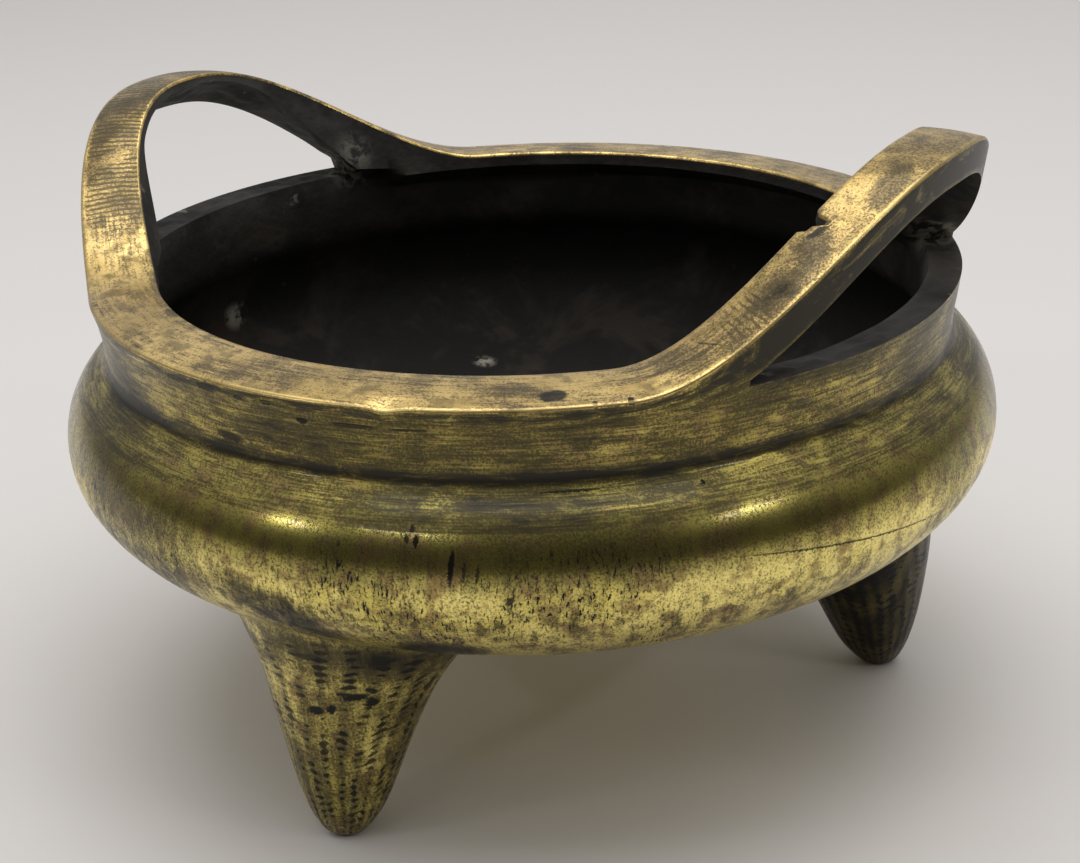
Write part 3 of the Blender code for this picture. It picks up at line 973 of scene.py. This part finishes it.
def bellyLevel(bench):
    run = bench.run
    low = bench.fit(run, *belly["lowRun"])
    pitField = bench.streaks(bench.around, *belly["pitField"])
    smudges = bench.streaks(bench.around, *belly["smudgeField"])
    clusters = bench.fit(bench.clouds, *belly["clusterShows"])
    away = bench.calc("COSINE", bench.less(bench.turn, belly["pittedTurn"]))
    pitted = bench.fit(away, *belly["pittedShows"])
    pits = bench.times(bench.fit(pitField, *belly["pitShows"]), clusters, low, pitted)
    bandMore = belly["bandBase"] - belly["base"]
    base = bench.timesPlus(bench.fit(run, *belly["bandRun"]), bandMore, belly["base"])
    level = bench.push(base, bench.clouds, belly["clouds"])
    level = bench.push(level, smudges, bench.times(low, belly["smudges"]))
    elsewhere = belly["brushedElsewhere"]
    brushed = bench.times(low, bench.timesPlus(pitted, 1.0 - elsewhere, elsewhere), belly["brushed"])
    fine = bench.push(bench.grain, pitField, brushed)
    blotches = bench.fit(bench.streaks(bench.around, *belly["blotchField"]), *belly["blotchShows"])
    zone = bench.times(bench.fit(run, *belly["blotchLow"]), bench.fit(run, *belly["blotchHigh"]))
    level = bench.raised(level, bench.times(blotches, zone), belly["blotches"])
    level = bench.stain(level, bench.sheet(bench.turn, bellyRadius, run), belly["stains"])
    return level, fine, pits


def bellyBare(bench):
    band = bench.fit(bench.run, *belly["bareRun"])
    bare = bench.mix(band, bench.bare(belly["gold"], belly["deepGold"]), bench.bare())
    return bench.mix(bench.times(band, bench.clouds), bare, bronze["olive"]), band


def makeBellyBronze():
    bench = BronzeBench("bellyBronze")
    level, fine, pits = bellyLevel(bench)
    sheet = bench.sheet(bench.turn, bellyRadius, bench.run)
    bench.scarAll(sheet, belly["scars"], bellyRadius)
    bench.scars = bench.most(bench.scars, pits)
    bare, band = bellyBare(bench)
    colour, patina = bench.coat(level, fine, bare)
    return bench.finish(colour, patina, band)


# Feet: rows of dark dashes between soft flutes, and darker stains at the roots
foot = {
    "fluteCount": 26.0, "flute": 0.06, "dashes": 0.23, "hairs": 0.6, "stripes": 0.03, "darker": 0.19,
    # rightFootPatinaAndShade darkens the right foot: partly its own patina, partly painted shade under the
    # bowl
    "rightFootPatinaAndShade": 0.26, "rightPatinaAndShadeWhere": (0.02, 0.05), "frontWhere": (-0.03, -0.04), "sheetRadius": 0.015,
    # scales across and along, detail and roughness
    "dashField": (4.7, 19, 2, 0.6), "swayField": (3.0, 5, 0), "hairField": (2.5, 120, 3, 0.7),
    "dashStep": 0.0020, "sway": 16.0, "dashSpread": 5.0, "dashMiddle": 0.2, "dashDepth": 0.10,
    "dashShows": (0.42, 1.05), "bowlShows": (0.6, 0.0), "rootShows": (0.34, 0.56), "scarDepth": 0.2,
    # angle round the front foot, height, halves, tilt, darkness
    "scars": [
        (33.0, 0.0403, 0.0019, 0.0008, 6, 1.0), (20.0, 0.0372, 0.0007, 0.0011, 0, 1.0),
        (44.0, 0.0385, 0.0011, 0.0010, -12, 1.0), (9.5, 0.0365, 0.0014, 0.0011, 4, 1.0),
        (9.5, 0.0503, 0.0022, 0.0008, 3, 0.9), (27.0, 0.0410, 0.0014, 0.0004, -14, 0.9),
    ],
}


def makeFootBronze():
    bench = BronzeBench("footBronze")
    share = bench.mark("foot")
    wrap = bench.mark("wrap", "Vector")
    wrapXyz = bench.add("SeparateXYZ", {0: wrap}).outputs
    angle = bench.calc("ARCTAN2", wrapXyz["Y"], wrapXyz["X"])
    level, fine, pits = bellyLevel(bench)
    flutes = bench.calc("COSINE", bench.times(angle, foot["fluteCount"]))
    dashField = bench.streaks(wrap, *foot["dashField"])
    sway = bench.streaks(wrap, *foot["swayField"])
    phase = bench.times(wrapXyz["Z"], 2 * math.pi * bellyRadius / foot["dashStep"])
    wave = bench.calc("SINE", bench.timesPlus(sway, foot["sway"], phase))
    dashes = bench.times(bench.calc("ADD", wave, flutes), 0.5)
    dashes = bench.fit(bench.push(dashes, dashField, foot["dashSpread"]), *foot["dashShows"])
    level = bench.push(level, dashes, bench.times(share, foot["dashes"]), foot["dashMiddle"])
    level = bench.raised(level, flutes, bench.times(share, foot["stripes"]))
    hairs = bench.streaks(wrap, *foot["hairField"])
    fine = bench.push(fine, hairs, bench.times(share, foot["hairs"]))
    # the right foot darker: partly its own patina, partly painted shade under the bowl
    right = bench.times(share, bench.fit(bench.xyz["X"], *foot["rightPatinaAndShadeWhere"]))
    level = bench.raised(level, right, foot["rightFootPatinaAndShade"])
    level = bench.raised(level, share, foot["darker"])
    root = bench.times(share, bench.less(1.0, share), 4.0)
    rootStain = bench.times(root, bench.fit(bench.clouds, *foot["rootShows"]))
    level = bench.raised(level, rootStain, belly["stain"])
    sheet = bench.sheet(angle, foot["sheetRadius"], bench.times(wrapXyz["Z"], bellyRadius))
    front = bench.times(share, bench.fit(bench.xyz["Y"], *foot["frontWhere"]))
    bench.scarAll(sheet, foot["scars"], foot["sheetRadius"], front)
    bench.scars = bench.most(bench.scars, bench.times(pits, bench.fit(share, *foot["bowlShows"])))
    bare, band = bellyBare(bench)
    colour, patina = bench.coat(level, fine, bare)
    bench.carve(bench.times(dashes, share), foot["dashDepth"])
    bench.carve(bench.times(flutes, share), -foot["flute"])
    return bench.finish(colour, patina, depth=foot["scarDepth"])


# Flat face of the lip, with file marks across the tops of the handles
lipFace = {
    "gold": (0.88, 0.630, 0.235), "deep": (0.62, 0.430, 0.150), "brown": (0.22, 0.160, 0.078),
    "base": 0.42, "mottle": 0.95, "streaks": 0.60, "streaksInPepper": 0.4,
    "handle": 0.04, "leftHandle": 0.13, "leftWhere": (0.0, -0.03),
    "chatterStep": 0.00145, "chatter": 0.50, "wander": 0.0030,
    # the file marks cover the left handle and one patch of the right one: its middle and halves
    "ticksAt": (math.radians(-33.0) * bellyRadius, 0.005), "ticksHalf": (0.0115, 0.0080),
    # scale, detail and roughness, or scales across and along, detail and roughness
    "mottleField": (70, 4, 0.68), "wornField": (125, 1.5), "streakField": (9.0, 14, 3, 0.70),
    "streakShows": (0.8, 0.0), "wornShows": (0.40, 0.53), "ridgeShows": (0.50, 0.92),
    "deepShows": (0.40, 0.60), "chatterDepth": 0.07, "mottleDepth": 0.06, "scarDepth": 0.05,
    # turn, distance in from the outer edge, halves, tilt, darkness
    "scars": [
        (-56.0, 0.0040, 0.0022, 0.0024, 0, 0.95), (-55.0, 0.0046, 0.0022, 0.0024, 0, 0.95),
        (-47.0, 0.0003, 0.0007, 0.0009, 0, 1.0), (-51.0, 0.0004, 0.0006, 0.0006, 0, 0.9),
        (-20.3, 0.0106, 0.0030, 0.0017, -20, 0.9),
        (-19.7, 0.0112, 0.0013, 0.0014, 30, 0.85), (-18.6, 0.0098, 0.0008, 0.0010, 20, 0.6),
        (-121.0, 0.0150, 0.0042, 0.0015, 0, 0.75), (-8.8, 0.0072, 0.0040, 0.0030, 0, 0.35),
        (-36.2, 0.0078, 0.0003, 0.0042, 24, 0.7),
    ],
    "stains": [
        (-24.5, 0.0070, 0.0085, 0.0056, 12, 0.12), (-28.5, 0.0050, 0.0050, 0.0060, -10, 0.12),
        (-33.0, 0.0050, 0.0100, 0.0055, 0, 0.13), (-41.5, 0.0100, 0.0080, 0.0040, -12, 0.18),
        (-12.5, 0.0040, 0.0070, 0.0040, 15, 0.16), (-62.0, 0.0080, 0.0100, 0.0030, 4, 0.10),
        (-84.0, 0.0110, 0.0120, 0.0034, 3, 0.12), (-98.0, 0.0050, 0.0080, 0.0034, -5, 0.12),
    ],
}
faceWidth = lip["outer"][0] - lip["inner"][0]


def makeLipBronze():
    bench = BronzeBench("lipBronze")
    arch, across, lipRun = bench.mark("arch"), bench.mark("across"), bench.mark("lipRun")
    mottle = bench.noise(bench.place, *lipFace["mottleField"])
    sheet = bench.sheet(bench.turn, bellyRadius, bench.times(across, faceWidth))
    left = bench.fit(bench.xyz["X"], *lipFace["leftWhere"])
    ticks = bench.scar(sheet, lipFace["ticksAt"], lipFace["ticksHalf"])
    ringed = bench.join(bench.calc("COSINE", bench.turn), bench.calc("SINE", bench.turn), across)
    streaks = bench.streaks(ringed, *lipFace["streakField"])
    streakShare = bench.fit(arch, *lipFace["streakShows"])
    level = bench.push(lipFace["base"], mottle, lipFace["mottle"])
    level = bench.raised(level, arch, lipFace["handle"])
    level = bench.raised(level, bench.times(arch, left), lipFace["leftHandle"])
    level = bench.push(level, streaks, bench.times(streakShare, lipFace["streaks"]))
    level = bench.stain(level, sheet, lipFace["stains"])
    fine = bench.push(bench.grain, streaks, bench.times(streakShare, lipFace["streaksInPepper"]))
    wander = bench.times(mottle, lipFace["wander"])
    phase = bench.times(bench.calc("ADD", lipRun, wander), 2 * math.pi / lipFace["chatterStep"])
    ridges = bench.timesPlus(bench.calc("SINE", phase), 0.5, 0.5)
    worn = bench.fit(bench.noise(bench.place, *lipFace["wornField"]), *lipFace["wornShows"])
    ridges = bench.fit(ridges, *lipFace["ridgeShows"])
    chatter = bench.times(ridges, arch, bench.most(left, ticks), worn)
    fine = bench.raised(fine, chatter, lipFace["chatter"])
    bench.scarAll(sheet, lipFace["scars"], bellyRadius)
    bare = bench.bare(lipFace["gold"], lipFace["deep"], lipFace["deepShows"])
    colour, patina = bench.coat(level, fine, bare, lipFace["brown"])
    bench.carve(chatter, lipFace["chatterDepth"])
    bench.carve(bench.less(mottle, 0.5), lipFace["mottleDepth"])
    return bench.finish(colour, patina, depth=lipFace["scarDepth"])


# Sooty, corroded skin of the inside, the ledges and the undersides of the handles
soot = {
    "black": (0.015, 0.014, 0.012), "brown": (0.040, 0.031, 0.024), "grey": (0.050, 0.046, 0.040),
    "dust": (0.36, 0.33, 0.26), "roughness": 0.60, "shine": 0.25, "bump": 0.9,
    # scale, detail, roughness and distortion
    "clouds": (38, 4, 0.65, 0.4), "greys": (55, 3.5, 0.65), "ragged": (240, 3, 0.7),
    "flecks": (130, 3, 0.6), "lumps": (170, 2, 0.6),
    "brownShows": (0.48, 0.66), "greyShows": (0.36, 0.62), "raggedShows": (0.40, 0.56),
    "fleckShows": (0.68, 0.76), "fleckCover": 0.14, "upperFlecks": 0.25,
    # heights, in metres: the grey upper part, and the darker curtain under the lip
    "upperFrom": (0.098, 0.108), "curtainFrom": (0.107, 0.111), "curtainTo": (0.126, 0.120),
    "greyCover": 0.85, "curtainLoss": 0.55,
    "lumpHeight": 0.45, "raggedHeight": 0.35, "raggedRoughness": 0.30,
    # middle and radius of each pale deposit
    "deposits": [(-0.0491, 0.0599, 0.0540, 0.0042), (-0.1002, 0.0156, 0.0742, 0.0050)],
    "depositCore": 0.2,    # share of its radius where a deposit is thickest
    # two more, where a handle's underside meets the ledge
    "rootDepositRadius": 0.0100, "rootDepositReach": 0.0955, "rootDepositRise": 0.004,
}
for turn in (gapEnds(handles["left"])[0], gapEnds(handles["right"])[1]):
    depositX = bowl["axisX"] + soot["rootDepositReach"] * math.cos(turn)
    depositY = soot["rootDepositReach"] * math.sin(turn)
    depositZ = lip["ledgeHeight"] + soot["rootDepositRise"]
    soot["deposits"].append((depositX, depositY, depositZ, soot["rootDepositRadius"]))


def makeSootedSkin():
    bench = Bench(bpy.data.materials.new("sootedSkin"))
    place = bench.add("TexCoord", {}).outputs["Object"]
    xyz = bench.add("SeparateXYZ", {0: place}).outputs
    clouds = bench.fit(bench.noise(place, *soot["clouds"]), *soot["brownShows"])
    colour = bench.mix(clouds, soot["black"], soot["brown"])
    upper = bench.fit(xyz["Z"], *soot["upperFrom"])
    greyHere = bench.times(upper, bench.fit(bench.noise(place, *soot["greys"]), *soot["greyShows"]))
    dark = bench.times(bench.fit(xyz["Z"], *soot["curtainFrom"]), bench.fit(xyz["Z"], *soot["curtainTo"]))
    greyHere = bench.times(greyHere, bench.timesPlus(dark, -soot["curtainLoss"], soot["greyCover"]))
    colour = bench.mix(greyHere, colour, soot["grey"])
    ragged = bench.noise(place, *soot["ragged"])
    pale = 0.0
    for x, y, z, radius in soot["deposits"]:
        offset = bench.distance(place, (x, y, z))
        near = bench.fit(offset, radius, radius * soot["depositCore"])
        pale = bench.most(pale, bench.times(near, bench.fit(ragged, *soot["raggedShows"])))
    flecks = bench.fit(bench.noise(place, *soot["flecks"]), *soot["fleckShows"])
    fleckCover = bench.timesPlus(upper, soot["upperFlecks"], soot["fleckCover"])
    pale = bench.most(pale, bench.times(flecks, fleckCover))
    colour = bench.mix(pale, colour, soot["dust"])
    roughness = bench.timesPlus(ragged, soot["raggedRoughness"], soot["roughness"])
    lumps = bench.times(bench.noise(place, *soot["lumps"]), soot["lumpHeight"])
    bump = bench.bump(bench.timesPlus(ragged, soot["raggedHeight"], lumps), soot["bump"])
    bench.plug(Base_Color=colour, Roughness=roughness, Normal=bump)
    bench.surface.inputs["Specular IOR Level"].default_value = soot["shine"]
    return bench.owner


for finish in (makeNeckBronze, makeBellyBronze, makeFootBronze, makeLipBronze, makeSootedSkin):
    censerMesh.materials.append(finish())
print("bronze and soot made")

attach(censerBody, "root")
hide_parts("censer")


# Pale floor
floor = {"size": 12.0, "colour": (0.70, 0.67, 0.65), "roughness": 0.7}
bpy.ops.mesh.primitive_plane_add(size=floor["size"])
floorPlane = bpy.context.object
floorPlane.name = "studioFloor"
paleFloor = Bench(bpy.data.materials.new("paleFloor"))
paleFloor.surface.inputs["Base Color"].default_value = (*floor["colour"], 1.0)
paleFloor.surface.inputs["Roughness"].default_value = floor["roughness"]
floorPlane.data.materials.append(paleFloor.owner)

# Camera at the photograph's viewing angle
cameraView = {
    "target": (0.0045, 0.0014, 0.0640), "distance": 0.520,
    "azimuth": math.radians(31.89), "elevation": math.radians(22.09), "roll": math.radians(-2.25),
    "lens": 71.12, "clip": 0.01,
}


def directionFrom(azimuth, elevation):
    flat = math.cos(elevation)
    return Vector((math.sin(azimuth) * flat, -math.cos(azimuth) * flat, math.sin(elevation)))


cameraData = bpy.data.cameras.new("photoCamera")
cameraData.lens = cameraView["lens"]
cameraData.clip_start = cameraView["clip"]
photoCamera = bpy.data.objects.new("photoCamera", cameraData)
bpy.context.scene.collection.objects.link(photoCamera)
back = directionFrom(cameraView["azimuth"], cameraView["elevation"])
photoCamera.location = Vector(cameraView["target"]) + back * cameraView["distance"]
aim = (-back).to_track_quat("-Z", "Y").to_matrix().to_4x4()
aim.translation = photoCamera.location
spin = Vector((0, 0, 1))
photoCamera.matrix_world = aim @ aim.Rotation(cameraView["roll"], 4, spin)
bpy.context.scene.camera = photoCamera

# Studio light: a large soft box overhead, and a small lamp on each side of the camera
lamps = {
    # azimuth, elevation, distance, width, depth, power
    "overhead": (212, 88, 1.25, 1.3, 1.3, 11.0),
    "leftLamp": (-29, 32, 1.4, 0.17, 0.05, 0.74),
    "rightLamp": (85, 35, 1.4, 0.27, 0.06, 0.92),
    "thinLamp": (-2, 39, 1.4, 0.42, 0.025, 0.42),
}
for name, (azimuth, elevation, distance, width, depth, power) in lamps.items():
    lampData = bpy.data.lights.new(name, "AREA")
    lampData.shape = "RECTANGLE"
    lampData.size = width
    lampData.size_y = depth
    lampData.energy = power
    lampObject = bpy.data.objects.new(name, lampData)
    bpy.context.scene.collection.objects.link(lampObject)
    towards = directionFrom(math.radians(azimuth), math.radians(elevation))
    lampObject.location = towards * distance
    lampObject.rotation_euler = towards.to_track_quat("Z", "Y").to_euler()

# Room: pale behind the censer, dim on the camera's side
room = {
    "bright": 0.62, "dim": 0.07, "backdrop": (0.47, 0.455, 0.445),
    # how high the room is brightest, and the cosines from there at which it is dim and bright
    "elevation": math.radians(65), "facing": (-0.05, 0.75),
}


def makeRoom():
    bench = Bench(bpy.data.worlds.new("studioRoom"), "Background")
    away = directionFrom(cameraView["azimuth"] + math.pi, room["elevation"])
    direction = bench.add("TexCoord", {}).outputs["Generated"]
    facing = bench.add("VectorMath", {0: direction, 1: away}, operation="DOT_PRODUCT").outputs["Value"]
    share = bench.fit(facing, *room["facing"])
    level = bench.timesPlus(share, room["bright"] - room["dim"], room["dim"])
    seen = bench.add("LightPath", {}).outputs["Is Camera Ray"]
    bench.plug(Color=bench.mix(seen, level, room["backdrop"]))
    return bench.owner


bpy.context.scene.world = makeRoom()
bpy.context.scene.view_settings.view_transform = "Standard"
print("camera, lamps and room ready")
